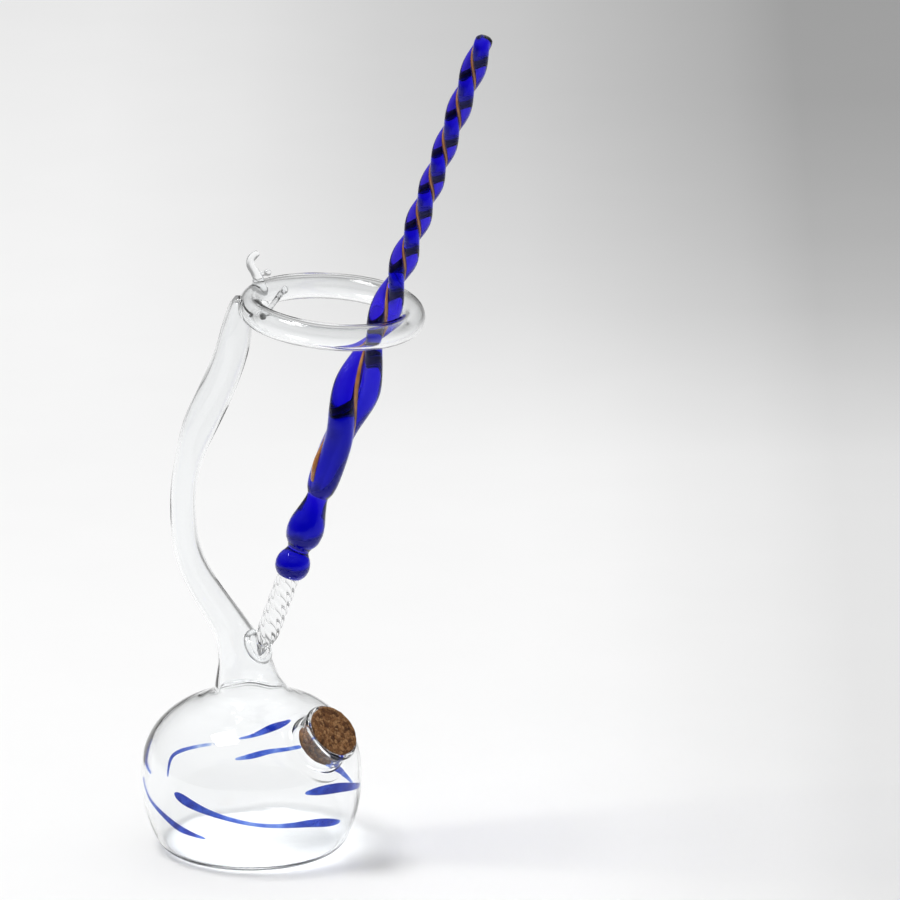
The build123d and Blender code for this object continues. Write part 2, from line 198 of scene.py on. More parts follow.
# ---------------------------------------------------------------- materials
def blank(name):
    mat = bpy.data.materials.new(name)
    mat.use_nodes = True
    nt = mat.node_tree
    return mat, nt, nt.nodes["Principled BSDF"], nt.nodes["Material Output"]


def link(nt, a, b):
    nt.links.new(a, b)


def maths(nt, operation):
    n = nt.nodes.new("ShaderNodeMath")
    n.operation = operation
    return n


def noise(nt, vec, scale, detail=2.0, rough=0.5):
    n = nt.nodes.new("ShaderNodeTexNoise")
    n.inputs["Scale"].default_value = scale
    n.inputs["Detail"].default_value = detail
    n.inputs["Roughness"].default_value = rough
    link(nt, vec, n.inputs["Vector"])
    return n.outputs["Fac"]


def object_place(nt):
    return nt.nodes.new("ShaderNodeTexCoord").outputs["Object"]


def ramp(nt, fac, stops):
    r = nt.nodes.new("ShaderNodeValToRGB")
    e = r.color_ramp.elements
    while len(e) < len(stops):
        e.new(0.5)
    for k, (pos, col) in enumerate(stops):
        e[k].position = pos
        e[k].color = (*col, 1.0)
    link(nt, fac, r.inputs["Fac"])
    return r.outputs["Color"]


def greys(stops):
    return [(pos, (v, v, v)) for pos, v in stops]


def span(nt, value, low, high):
    """Turns the stretch from low to high of a value into 0 to 1."""
    m = nt.nodes.new("ShaderNodeMapRange")
    m.inputs["From Min"].default_value = low
    m.inputs["From Max"].default_value = high
    link(nt, value, m.inputs["Value"])
    return m.outputs["Result"]


def bump(nt, height, strength, distance):
    b = nt.nodes.new("ShaderNodeBump")
    b.inputs["Strength"].default_value = strength
    b.inputs["Distance"].default_value = distance
    link(nt, height, b.inputs["Height"])
    return b.outputs["Normal"]


def let_light_through(nt, bsdf, out, tint, edge):
    """Shadow rays pass the glass with a faint tint face on and lose more where they graze
    it, so light reaches what is behind and the shadow keeps a darker rim."""
    path = nt.nodes.new("ShaderNodeLightPath")
    slant = nt.nodes.new("ShaderNodeLayerWeight")
    slant.inputs["Blend"].default_value = 0.5
    clear = nt.nodes.new("ShaderNodeBsdfTransparent")
    link(nt, ramp(nt, slant.outputs["Facing"], [(0.4, tint), (0.9, edge)]), clear.inputs["Color"])
    mix = nt.nodes.new("ShaderNodeMixShader")
    link(nt, path.outputs["Is Shadow Ray"], mix.inputs[0])
    link(nt, bsdf.outputs[0], mix.inputs[1])
    link(nt, clear.outputs[0], mix.inputs[2])
    link(nt, mix.outputs[0], out.inputs["Surface"])


def clear_glass(name, wobble, grain):
    """Clear blown glass: drawn-out ripples of the wall and a few fine seeds in the skin."""
    mat, nt, bsdf, out = blank(name)
    bsdf.inputs["Base Color"].default_value = (0.985, 0.992, 0.995, 1.0)
    bsdf.inputs["Transmission Weight"].default_value = 1.0
    bsdf.inputs["Roughness"].default_value = 0.0
    bsdf.inputs["IOR"].default_value = 1.41
    place = object_place(nt)
    h = noise(nt, place, grain, 2.0, 0.45)
    link(nt, bump(nt, h, wobble, 0.001), bsdf.inputs["Normal"])
    let_light_through(nt, bsdf, out, (0.92, 0.925, 0.93), (0.32, 0.33, 0.35))
    return mat


def cobalt_glass():
    """Deep blue glass, coloured by depth, with faint drawn ripples on its skin."""
    mat, nt, bsdf, out = blank("cobalt_glass")
    bsdf.inputs["Base Color"].default_value = (0.85, 0.85, 1.0, 1.0)
    bsdf.inputs["Transmission Weight"].default_value = 1.0
    bsdf.inputs["Roughness"].default_value = 0.0
    bsdf.inputs["IOR"].default_value = 1.5
    bsdf.inputs["Specular IOR Level"].default_value = 0.14
    bsdf.inputs["Specular Tint"].default_value = (0.4, 0.4, 0.85, 1.0)
    place = object_place(nt)
    link(nt, bump(nt, noise(nt, place, 260.0, 2.0), 0.06, 0.001), bsdf.inputs["Normal"])
    soak = nt.nodes.new("ShaderNodeVolumeAbsorption")
    soak.inputs["Color"].default_value = (0.18, 0.0, 0.905, 1.0)
    soak.inputs["Density"].default_value = 950.0
    link(nt, soak.outputs[0], out.inputs["Volume"])
    let_light_through(nt, bsdf, out, (0.25, 0.25, 0.65), (0.1, 0.1, 0.4))
    return mat


def amber_thread():
    """Amber glass thread: honey brown, cloudier and darker in slow bands along it."""
    mat, nt, bsdf, out = blank("amber_thread")
    place = object_place(nt)
    col = ramp(nt, noise(nt, place, 240.0, 3.0), [
        (0.3, (0.20, 0.075, 0.022)), (0.55, (0.42, 0.17, 0.05)), (0.8, (0.62, 0.30, 0.10))])
    link(nt, col, bsdf.inputs["Base Color"])
    bsdf.inputs["Roughness"].default_value = 0.12
    bsdf.inputs["IOR"].default_value = 1.5
    bsdf.inputs["Coat Weight"].default_value = 0.6
    bsdf.inputs["Coat Roughness"].default_value = 0.03
    link(nt, bump(nt, noise(nt, place, 900.0, 2.0), 0.12, 0.0003), bsdf.inputs["Normal"])
    return mat


def blue_streak():
    """Blue melted into the wall: strongest in the blob, thinning to pale at the drawn ends."""
    mat, nt, bsdf, out = blank("blue_streak")
    nt.nodes.remove(bsdf)
    place = object_place(nt)
    fade = nt.nodes.new("ShaderNodeAttribute")
    fade.attribute_name = "strength"
    cloud = noise(nt, place, 420.0, 3.0)
    m = maths(nt, "MULTIPLY_ADD")
    link(nt, cloud, m.inputs[0])
    m.inputs[1].default_value = 0.9
    m.inputs[2].default_value = -0.50
    add = maths(nt, "ADD")
    add.use_clamp = True
    link(nt, fade.outputs["Fac"], add.inputs[0])
    link(nt, m.outputs[0], add.inputs[1])
    through = nt.nodes.new("ShaderNodeBsdfTransparent")
    blues = [(0.0, (1.0, 1.0, 1.0)), (0.3, (0.66, 0.76, 0.97)), (0.6, (0.36, 0.50, 0.90)),
             (0.85, (0.19, 0.31, 0.78)), (1.0, (0.12, 0.2, 0.66))]
    link(nt, ramp(nt, add.outputs[0], blues), through.inputs["Color"])
    body = nt.nodes.new("ShaderNodeBsdfDiffuse")
    body.inputs["Color"].default_value = (0.02, 0.04, 0.42, 1.0)
    part = maths(nt, "MULTIPLY")
    link(nt, add.outputs[0], part.inputs[0])
    part.inputs[1].default_value = 0.22
    mix = nt.nodes.new("ShaderNodeMixShader")
    link(nt, part.outputs[0], mix.inputs[0])
    link(nt, through.outputs[0], mix.inputs[1])
    link(nt, body.outputs[0], mix.inputs[2])
    link(nt, mix.outputs[0], out.inputs["Surface"])
    return mat


GRANULES = 1080.0         # cork cells per metre


def pressed_cork():
    """Pressed cork: granules of several browns, pits and fine grain, with the gaps between granules
    darkened, partly as their own darker colour and partly as painted shade in the recesses.
    """
    mat, nt, bsdf, out = blank("pressed_cork")
    place = object_place(nt)
    cells = nt.nodes.new("ShaderNodeTexVoronoi")
    cells.inputs["Scale"].default_value = GRANULES
    cells.inputs["Randomness"].default_value = 1.0
    warp = nt.nodes.new("ShaderNodeMixRGB")
    warp.inputs[0].default_value = 0.0012
    link(nt, place, warp.inputs[1])
    wob = nt.nodes.new("ShaderNodeTexNoise")
    wob.inputs["Scale"].default_value = 700.0
    link(nt, place, wob.inputs["Vector"])
    link(nt, wob.outputs["Color"], warp.inputs[2])
    link(nt, warp.outputs[0], cells.inputs["Vector"])
    sep = nt.nodes.new("ShaderNodeSeparateColor")
    link(nt, cells.outputs["Color"], sep.inputs[0])
    grain = ramp(nt, sep.outputs[0], [
        (0.0, (0.095, 0.038, 0.012)), (0.25, (0.19, 0.080, 0.026)),
        (0.6, (0.29, 0.135, 0.048)), (1.0, (0.40, 0.215, 0.090))])
    gaps = nt.nodes.new("ShaderNodeTexVoronoi")
    gaps.feature = "DISTANCE_TO_EDGE"
    gaps.inputs["Scale"].default_value = GRANULES
    link(nt, warp.outputs[0], gaps.inputs["Vector"])
    # the gaps between granules are darkened: partly the cork's own darker joints, partly painted shade in
    # the recessed gaps
    dark = ramp(nt, gaps.outputs["Distance"], [(0.0, (0.30, 0.26, 0.24)), (0.10, (1.0, 1.0, 1.0))])
    fine = ramp(nt, noise(nt, place, 2600.0, 4.0, 0.7), [(0.35, (0.55, 0.5, 0.47)), (0.62, (1.1, 1.1, 1.1))])
    m1 = nt.nodes.new("ShaderNodeMixRGB")
    m1.blend_type = "MULTIPLY"
    m1.inputs[0].default_value = 1.0
    link(nt, grain, m1.inputs[1])
    link(nt, dark, m1.inputs[2])
    m2 = nt.nodes.new("ShaderNodeMixRGB")
    m2.blend_type = "MULTIPLY"
    m2.inputs[0].default_value = 0.85
    link(nt, m1.outputs[0], m2.inputs[1])
    link(nt, fine, m2.inputs[2])
    link(nt, m2.outputs[0], bsdf.inputs["Base Color"])
    bsdf.inputs["Roughness"].default_value = 0.82
    bsdf.inputs["Specular IOR Level"].default_value = 0.25
    deep = maths(nt, "MULTIPLY_ADD")
    link(nt, gaps.outputs["Distance"], deep.inputs[0])
    deep.inputs[1].default_value = 1.6
    link(nt, noise(nt, place, 2200.0, 3.0, 0.6), deep.inputs[2])
    link(nt, bump(nt, deep.outputs[0], 0.55, 0.0004), bsdf.inputs["Normal"])
    return mat


GLASS = clear_glass("blown_clear_glass", 0.10, 70.0)
ROD_GLASS = clear_glass("drawn_clear_glass", 0.10, 200.0)
NIB_GLASS = clear_glass("fluted_clear_glass", 0.05, 400.0)
COBALT = cobalt_glass()
AMBER = amber_thread()
STREAK = blue_streak()
CORK = pressed_cork()

# ---------------------------------------------------------------- the pot: globe, neck and spout
EQUATOR = 19.8            # height of the globe's widest point
CROWN = 22.5              # rise from there to the crown
WIDE = 29.2               # widest radius
FULLNESS = 2.3            # of the rounded shoulder
FOOT_RADIUS = 22.6        # flat that the pot stands on
SEAM = 43.4               # height where the globe turns into the neck
WALL = 0.85               # glass of the wall
FOOT_WALL = 1.1           # glass of the foot
RING_WALL = 1.0           # glass of the ring
RING_X = 21.55
RING_Z = 147.3
RING_RADIUS = 21.5
RING_WIDE = 3.1           # half width of the tube
RING_TALL = 3.55          # half height of the tube
DROOP = math.radians(4.5)  # far side of the ring down


def globe_profile():
    """Radius and height up the wall: a flat foot, a turned heel, a swell to the widest
    point, a rounded shoulder (superellipse) and a hollow curve into the neck."""
    a = np.radians([0.0, 12, 24, 36, 48, 58, 65])
    r = WIDE * np.cos(a) ** (2.0 / FULLNESS)
    z = EQUATOR + CROWN * np.sin(a) ** (2.0 / FULLNESS)
    r = np.concatenate([[FOOT_RADIUS, 24.1, 26.0, 27.8, 28.9], r, [12.2, 10.6, 9.6]])
    z = np.concatenate([[0.0, 1.0, 3.9, 9.0, 14.5], z, [41.35, 42.2, SEAM]])
    d = np.concatenate([[0.0], np.cumsum(np.hypot(np.diff(r), np.diff(z)))])
    s = np.linspace(0, d[-1], 96)
    return curve(s, d, r), curve(s, d, z)


NECK = np.array([  # x, height above the seam, outer radius
    (0.0, 0.0, 9.6), (-0.6, 1.3, 8.95), (-1.05, 3.2, 8.25), (-1.75, 7.4, 7.1), (-2.9, 11.2, 6.1),
    (-5.5, 17.0, 4.85), (-8.4, 21.8, 4.35), (-11.8, 27.3, 4.05), (-16.1, 36.5, 3.7), (-17.7, 47.0, 3.4),
    (-17.5, 56.0, 3.4), (-16.0, 64.0, 3.7), (-13.8, 71.0, 4.4), (-11.0, 77.5, 4.7), (-6.5, 88.0, 4.5),
    (-4.6, 93.5, 4.35), (-3.3, 99.0, 4.1), (-2.6, 103.0, 3.6), (-2.2, 105.8, 2.9), (-1.9, 107.6, 1.9)])


def pot_wall(inset, foot, around=128, last=1.0):
    """The pot's skin: rings carried from the middle of the foot up the globe's axis and on
    along the neck's bowed line. Slow waves of 0.03 to 0.05 mm round and along it are those
    of blown glass. inset moves it inwards for the cavity, which has waves of up to 0.10 mm
    more of its own."""
    r, z = globe_profile()
    dr, dz = np.gradient(r), np.gradient(z)
    n = np.hypot(dr, dz)
    gr, gz = r - inset * dz / n, z + inset * dr / n
    if inset:
        keep = gz > foot + 0.9
        gr, gz = gr[keep], gz[keep]
    base = np.linspace(0.04, 1.0, 14)[:-1]
    rim = gr[0] - (1.1 if inset else 0.0)
    br = np.concatenate([base * rim, [rim]])
    bz = foot + 0.3 * (1 - (br / rim) ** 2) ** 2
    if not inset:
        gr, gz = gr[1:], gz[1:]
    gr, gz = np.concatenate([br, gr]), np.concatenate([bz, gz])
    centre = np.stack([np.zeros_like(gz), np.zeros_like(gz), gz], axis=1)
    d = np.concatenate([[0.0], np.cumsum(np.hypot(np.diff(NECK[:, 0]), np.diff(NECK[:, 1])))])
    s = np.linspace(0, d[-1] * last, 170)[1:]
    line = np.stack([curve(s, d, NECK[:, 0]), 0 * s, SEAM + curve(s, d, NECK[:, 1])], axis=1)
    nr = curve(s, d, NECK[:, 2]) - inset * (1.0 - 0.25 * np.clip(s / 30.0, 0, 1))
    t = unit(np.gradient(line, axis=0))
    settle = np.clip(s / 9.0, 0, 1)[:, None]
    t = unit(t * settle + np.array([0, 0, 1.0]) * (1 - settle))
    lift = np.tile([0, 0, 1.0], (len(gz), 1))
    path = np.concatenate([centre, line])
    t = np.concatenate([lift, t])
    rad = np.concatenate([gr, nr])
    e2 = np.array([0, 1.0, 0])
    e1 = np.cross(e2, t)
    u = np.arange(around) * TAU / around
    k = path[:, 2][:, None]
    wave = (0.05 * np.sin(2 * u + 0.05 * k) + 0.04 * np.sin(3 * u - 0.09 * k + 1.0)
            + 0.03 * np.sin(0.21 * k + u))
    if inset:
        wave = wave + 0.10 * np.sin(2 * u + 0.11 * k + 2.0) + 0.06 * np.sin(5 * u + 0.3 * k)
    rr = rad[:, None] + wave * np.clip(rad[:, None] / 8.0, 0, 1) * np.clip((k - foot) / 3.0, 0, 1)
    return (path[:, None, :] + (rr * np.cos(u))[..., None] * e1[:, None, :]
            + (rr * np.sin(u))[..., None] * e2)


SPOUT_AZIMUTH = math.radians(-42.0)  # where the spout stands on the globe
SPOUT_TURN = math.radians(-37.0)     # where it points
SPOUT_LIFT = math.radians(41.7)      # above level
SPOUT_RISE = 0.615                   # its height as a share of the crown's rise
SPOUT_STAND = 7.0                    # cork face above the globe's skin
SPOUT_AXIS = np.array([math.cos(SPOUT_LIFT) * math.cos(SPOUT_TURN),
                       math.cos(SPOUT_LIFT) * math.sin(SPOUT_TURN), math.sin(SPOUT_LIFT)])
shoulder_r = WIDE * (1 - SPOUT_RISE ** FULLNESS) ** (1 / FULLNESS)
SPOUT_ROOT = np.array([shoulder_r * math.cos(SPOUT_AZIMUTH), shoulder_r * math.sin(SPOUT_AZIMUTH),
                       EQUATOR + CROWN * SPOUT_RISE])
CORK_FACE = SPOUT_ROOT + SPOUT_AXIS * SPOUT_STAND
SPOUT_X = np.array([math.sin(SPOUT_TURN), -math.cos(SPOUT_TURN), 0.0])
SPOUT_Y = np.cross(SPOUT_AXIS, SPOUT_X)


def turned(rows, around, origin=CORK_FACE, axes=(SPOUT_X, SPOUT_Y, SPOUT_AXIS), ripple=0.0):
    """A profile of (radius, height) rows turned about an axis, with a faint out-of-round wave."""
    rows = np.asarray(rows, float)
    u = np.arange(around) * TAU / around
    r = rows[:, 0][:, None] * (1 + ripple * np.sin(2 * u + 0.7) + 0.5 * ripple * np.sin(3 * u))
    return (origin + (r * np.cos(u))[..., None] * axes[0] + (r * np.sin(u))[..., None] * axes[1]
            + rows[:, 1][:, None, None] * axes[2])


def arc_rows(points, count):
    """Many rows on the natural spline through a few (radius, height) points."""
    p = np.asarray(points, float)
    d = np.concatenate([[0.0], np.cumsum(np.hypot(np.diff(p[:, 0]), np.diff(p[:, 1])))])
    s = np.linspace(0, d[-1], count)
    return np.stack([curve(s, d, p[:, 0]), curve(s, d, p[:, 1])], axis=1)


wall = solid("pot_glass", skin(pot_wall(0.0, 0.0)))
cavity = solid("cavity", skin(pot_wall(WALL, FOOT_WALL, last=0.992)))
spout_rows = np.concatenate([
    [(5.0, -1.25), (6.9, -1.15)],
    arc_rows([(7.15, -1.12), (7.75, -1.25), (8.1, -1.95), (7.95, -2.75), (7.6, -3.2), (7.52, -4.0),
              (7.55, -5.2), (7.9, -6.7), (8.7, -8.0), (10.4, -9.4)], 50),
    [(10.2, -11.0), (5.0, -11.0)]])
spout = solid("spout_body", skin(turned(spout_rows, 96, ripple=0.004)))
bore_rows = arc_rows([(7.55, 2.0), (7.28, 0.0), (7.12, -1.2), (6.95, -2.4), (6.75, -3.8), (6.65, -5.5),
                      (6.8, -7.0), (7.1, -8.2), (7.4, -9.4), (7.4, -13.0)], 40)
bore = solid("spout_bore", skin(turned(bore_rows, 96)))
RING_TURN = np.array([[math.cos(DROOP), 0, math.sin(DROOP)], [0, 1, 0],
                      [-math.sin(DROOP), 0, math.cos(DROOP)]])


def on_ring(p):
    return p @ RING_TURN.T + np.array([RING_X, 0, RING_Z])


def ring_skin(inset, around=44, along=200):
    """Hollow ring: an upright ellipse carried round a slightly long circle, a little
    thicker and thinner as it goes, and higher at the back than at the front."""
    q = np.arange(along) * TAU / along
    u = np.arange(around) * TAU / around
    swell = 1 + 0.02 * np.sin(2 * q + 0.4) + 0.015 * np.sin(3 * q)
    if inset:
        swell = swell + 0.03 * np.sin(5 * q + 1.0)
    wide = ((RING_WIDE - inset) * swell)[:, None] * np.cos(u)
    tall = ((RING_TALL - inset) * swell)[:, None] * np.sin(u)
    p = np.stack([(RING_RADIUS + wide) * np.cos(q)[:, None], (RING_RADIUS + 0.7 + wide) * np.sin(q)[:, None],
                  tall + (0.45 * np.sin(q) + 0.15 * np.sin(2 * q))[:, None]], axis=-1)
    return on_ring(p)


def ball(centre, radii, rows=24, around=40):
    """Ellipsoid: centre + (a sin p cos u, b sin p sin u, c cos p)."""
    p = np.linspace(0.04, math.pi - 0.04, rows)[:, None]
    u = np.arange(around)[None, :] * TAU / around
    g = np.stack([radii[0] * np.sin(p) * np.cos(u), radii[1] * np.sin(p) * np.sin(u),
                  radii[2] * np.cos(p) + 0 * u], axis=-1)
    return g + np.asarray(centre)


ring = solid("ring_body", skin(ring_skin(0.0), closed=True))
ring_air = solid("ring_air", skin(ring_skin(RING_WALL), closed=True))
left = on_ring(np.array([-RING_RADIUS, 0, 0]))
bead = solid("weld_bead", skin(ball(left + [3.6, 0.4, -0.3], (1.5, 1.4, 1.5))))
pot = carve(wall, [("UNION", spout), ("UNION", ring), ("UNION", bead),
                   ("DIFFERENCE", cavity), ("DIFFERENCE", ring_air), ("DIFFERENCE", bore)])
finish_piece(pot, GLASS, "ink_pot", "clear_glass", "globe", "swan_neck", "spout", "holder_ring", "ring_knot")

# ---------------------------------------------------------------- brace and tail
def brace_skin():
    """Straight rod across the ring, a tenth of a millimetre thicker where it is welded on."""
    back_end = np.array([RING_X - 12.7, 16.6, RING_Z + 1.2])
    front_end = np.array([RING_X - 17.7, -9.9, RING_Z + 1.3])
    line = back_end + (front_end - back_end) * np.linspace(0, 1, 40)[:, None]
    thick = np.full(40, 0.8) + 0.1 * np.cos(np.linspace(0, TAU, 40))
    return skin(tube(line, thick, 20, ref=(0, 0, 1.0)))


brace = solid("ring_brace_rod", brace_skin())
finish_piece(brace, ROD_GLASS, "ink_pot", "clear_glass", "ring_brace")


def tail_curl():
    """Curled rod drawn off the ring, with a short twig that ends in a drop."""
    path, f, marks = resample([
        (2.3, 8.5, 151.0), (2.35, 8.5, 152.6), (2.0, 8.5, 154.2), (1.1, 8.5, 155.9),
        (0.3, 8.5, 157.4), (0.35, 8.5, 159.0), (1.6, 8.5, 160.4)], 60)
    path, rad = round_ends(path, curve(f, marks, [2.4, 1.75, 1.4, 1.2, 1.15, 1.1, 0.95]))
    twig, twig_rad = round_ends(np.linspace([1.8, 8.5, 154.6], [4.2, 8.5, 155.25], 12),
                                np.linspace(0.85, 0.6, 12))
    curl = solid("ring_tail_curl", skin(tube(path, rad, 28)))
    stub = solid("stub", skin(tube(twig, twig_rad, 20)))
    drop = solid("drop", skin(ball((4.65, 8.5, 155.35), (1.0, 0.95, 0.95), 14, 24)))
    return carve(curl, [("UNION", stub), ("UNION", drop)])


tail = tail_curl()
finish_piece(tail, ROD_GLASS, "ink_pot", "clear_glass", "ring_tail")

# ---------------------------------------------------------------- pen rest
EYE_RADIUS = 4.15
EYE_ROD = 0.85            # radius of the rod that the eye is bent from
EYE_CENTRE = np.array([1.9, -4.2, 56.2])


def eye_skin():
    """Small ring: a rod bent round a tilted circle that faces the nib."""
    facing = unit(np.array([0.72, -0.40, 0.57]))
    level = unit(np.cross(facing, [0, 0, 1.0]))
    upright = np.cross(facing, level)
    q = np.arange(72) * TAU / 72
    u = np.arange(24) * TAU / 24
    rr = (EYE_RADIUS + EYE_ROD * np.cos(u))[None, :, None]
    g = (EYE_CENTRE + rr * (np.cos(q)[:, None, None] * level + np.sin(q)[:, None, None] * upright)
         + (EYE_ROD * np.sin(u))[None, :, None] * facing)
    return skin(g, closed=True)


eye = solid("pen_rest_eye", eye_skin())
finish_piece(eye, ROD_GLASS, "ink_pot", "clear_glass", "pen_rest")

# ---------------------------------------------------------------- blue inlays
STREAK_DEPTH = 0.42       # middle of the inlay below the globe's skin
STREAK_THIN = 0.2         # half of its thickness
skin_r, skin_z = globe_profile()


def streak(name, rows):
    """A lens-shaped ribbon under the skin: the section is an ellipse, wide along the wall
    and thin through it, carried along a line on the globe given by angle and height."""
    rows = np.asarray(rows, float)
    k = np.arange(len(rows), dtype=float)
    v = np.linspace(0, k[-1], 70)
    ang = np.radians(curve(v, k, rows[:, 0]))
    z = curve(v, k, rows[:, 1] * SEAM)
    half = np.maximum(curve(v, k, rows[:, 2]), 0.3)
    r = np.interp(z, skin_z, skin_r) - STREAK_DEPTH
    path = np.stack([r * np.cos(ang), r * np.sin(ang), z], axis=1)
    t = unit(np.gradient(path, axis=0))
    slope = np.interp(z, skin_z, np.gradient(skin_r, skin_z))
    out = unit(np.stack([np.cos(ang), np.sin(ang), -slope], axis=1))
    side = unit(np.cross(out, t))
    e = v / v[-1]
    cap = np.sqrt(np.clip(1 - (2 * np.clip(np.abs(e - 0.5) - 0.46, 0, 1) / 0.08) ** 2, 0.002, 1))
    u = np.arange(20) * TAU / 20
    g = path[:, None, :] + (half * cap)[:, None, None] * np.cos(u)[None, :, None] * side[:, None, :]
    g = g + (STREAK_THIN * cap)[:, None, None] * np.sin(u)[None, :, None] * out[:, None, :]
    verts, quads, tris = skin(g)
    obj = solid(name, (verts, quads, tris))
    s = curve(v, k, rows[:, 3])
    strength = np.concatenate([np.repeat(s, 20), s[:1], s[-1:]])
    att = obj.data.attributes.new("strength", "FLOAT", "POINT")
    att.data.foreach_set("value", strength.astype(np.float32))
    finish_piece(obj, STREAK, "ink_pot", "blue_inlay", name)
    obj.name = name + "_glass"


# degrees round from +X, share of the way up to the neck, half width, strength of colour
STREAKS = {
    "streak_front": [
        (-134, 0.485, 0.5, 0.9), (-129, 0.465, 1.3, 1), (-121, 0.435, 1.2, 0.95),
        (-110, 0.4, 0.8, 0.8), (-97, 0.365, 0.6, 0.7), (-83, 0.336, 0.55, 0.6),
        (-68, 0.322, 0.75, 0.75), (-55, 0.312, 1.15, 0.95), (-45, 0.29, 1.2, 1),
        (-37, 0.27, 0.8, 0.8), (-33, 0.262, 0.35, 0.5)],
    "streak_left": [
        (-170, 0.47, 0.35, 0.5), (-164, 0.42, 0.5, 0.6), (-157, 0.37, 0.6, 0.7),
        (-145, 0.32, 0.85, 0.9), (-134, 0.27, 1.1, 1), (-125, 0.245, 0.8, 0.9),
        (-115, 0.226, 0.3, 0.6)],
    "streak_back": [
        (146, 0.3, 0.4, 0.6), (142, 0.38, 0.55, 0.9), (137, 0.43, 0.6, 0.9),
        (128, 0.442, 0.55, 0.7), (118, 0.443, 0.45, 0.35), (110, 0.443, 0.3, 0.1)],
    "streak_shoulder": [
        (-98, 0.835, 0.3, 0.4), (-88, 0.85, 0.6, 0.7), (-76, 0.873, 1.1, 1), (-66, 0.885, 1.1, 1),
        (-57, 0.892, 0.7, 0.9), (-53, 0.895, 0.3, 0.7)],
    "streak_middle": [
        (-99, 0.735, 0.3, 0.3), (-88, 0.755, 0.8, 0.75), (-78, 0.772, 0.7, 0.7),
        (-66, 0.775, 0.55, 0.6), (-56, 0.775, 0.5, 0.5)],
    "streak_spout": [
        (-44, 0.655, 0.4, 0.5), (-41, 0.648, 0.9, 0.8), (-37, 0.615, 1.0, 0.9),
        (-32, 0.57, 0.8, 0.8), (-27, 0.52, 0.55, 0.6), (-22, 0.47, 0.35, 0.4)],
    "streak_right": [
        (-60, 0.515, 0.35, 0.7), (-50, 0.51, 1.2, 0.95), (-36, 0.49, 1.3, 1), (-22, 0.45, 1.0, 0.9),
        (-8, 0.41, 0.6, 0.6)],
    "streak_edge": [
        (-172, 0.7, 0.35, 0.5), (-169, 0.62, 0.8, 0.9), (-165, 0.57, 0.7, 0.8),
        (-156, 0.54, 0.35, 0.4)],
}
for name, rows in STREAKS.items():
    streak(name, rows)

# ---------------------------------------------------------------- pen
tilt, back = math.radians(19.5), math.radians(1.4)
TIP = np.array([2.3, -5.3, 54.15])
PEN_Z = np.array([math.sin(tilt), math.cos(tilt) * math.sin(back), math.cos(tilt) * math.cos(back)])
PEN_X = np.array([math.cos(tilt), 0, -math.sin(tilt) / math.cos(back)])
PEN_X = unit(PEN_X - PEN_Z * (PEN_X @ PEN_Z))
PEN_Y = np.cross(PEN_Z, PEN_X)
LONG = 178.4 / 180.0      # real length over the length that the stations are given for


def along_pen(s, r, a):
    """Pen point at station s, radius r and angle a."""
    return (TIP + (s * LONG)[..., None] * PEN_Z + (r * np.cos(a))[..., None] * PEN_X
            + (r * np.sin(a))[..., None] * PEN_Y)


BARREL = np.array([  # station, half width over both strands, radius of a strand
    (47.0, 2.85, 2.8), (49.0, 3.9, 3.2), (51.6, 4.45, 3.5), (54.0, 4.7, 3.6), (62.9, 5.3, 3.7),
    (70.0, 6.0, 3.6), (78.0, 6.25, 3.1), (86.0, 5.5, 2.6), (92.0, 4.75, 2.35), (101.0, 4.25, 2.25),
    (109.5, 3.9, 2.2), (127.0, 3.3, 2.15), (148.0, 3.1, 2.12), (170.0, 3.3, 2.25), (176.5, 3.1, 2.2),
    (179.2, 2.35, 1.9), (180.0, 1.3, 1.2)])
TWIST = np.array([  # station, half turns made
    (47.0, -0.22), (54.0, -0.14), (62.9, -0.01), (77.5, 0.5), (91.8, 1.0), (109.5, 2.0), (121.7, 3.0),
    (132.4, 4.0), (142.6, 5.0), (153.2, 6.0), (164.5, 7.0), (180.0, 8.3)])


def twist(s):
    return math.pi / 2 - math.pi * hermite(s, TWIST[:, 0], TWIST[:, 1])


def strands(a, b, u):
    """Radius of two circles of radius b side by side, 2a across, with their valleys filled:
    c |cos u| + sqrt(b^2 - c^2 sin^2 u) for c = a - b, joined smoothly to 0.8 b."""
    c = a - b
    lobe = c * np.abs(np.cos(u)) + np.sqrt(np.maximum(b * b - (c * np.sin(u)) ** 2, 0.0))
    return (lobe ** 8 + (0.8 * b) ** 8) ** 0.125


def blue_body():
    """Ball, pear-shaped grip and twisted barrel in one skin. The section is round up to
    the waist, then two strands side by side that turn as they go."""
    ball_s = np.array([23.15, 23.4, 24.2, 25.4, 26.7, 28.0, 29.3, 30.4, 31.3,
                       32.3, 33.8, 35.4, 37.0, 39.2, 41.6, 44.2, 46.2, 47.0])
    ball_r = np.array([2.2, 3.1, 3.85, 4.45, 4.65, 4.48, 3.95, 3.25, 2.95,
                       3.3, 4.28, 4.75, 4.9, 4.65, 4.0, 3.3, 2.88, 2.8])
    s1 = np.concatenate([np.linspace(23.15, 23.4, 4)[:-1], np.linspace(23.4, 47.0, 90)[:-1]])
    s2 = np.concatenate([np.linspace(47.0, 176.0, 420), np.linspace(176.3, 179.99, 22)])
    a1 = hermite(s1, ball_s, ball_r)
    a = np.concatenate([a1, hermite(s2, BARREL[:, 0], BARREL[:, 1])])
    b = np.concatenate([a1, hermite(s2, BARREL[:, 0], BARREL[:, 2])])
    s = np.concatenate([s1, s2])
    u = np.arange(72) * TAU / 72
    flat = strands(a, b, u[:, None]).T
    mix = np.clip((s - 45.5) / 2.5, 0, 1)[:, None]
    r = flat * mix + b[:, None] * (1 - mix)
    return along_pen(s[:, None] + 0 * u, r, twist(s)[:, None] + u)


pen_body = solid("cobalt_pen_body", skin(blue_body()))
finish_piece(pen_body, COBALT, "pen", "cobalt_glass", "collar_ball", "grip_bead", "barrel")


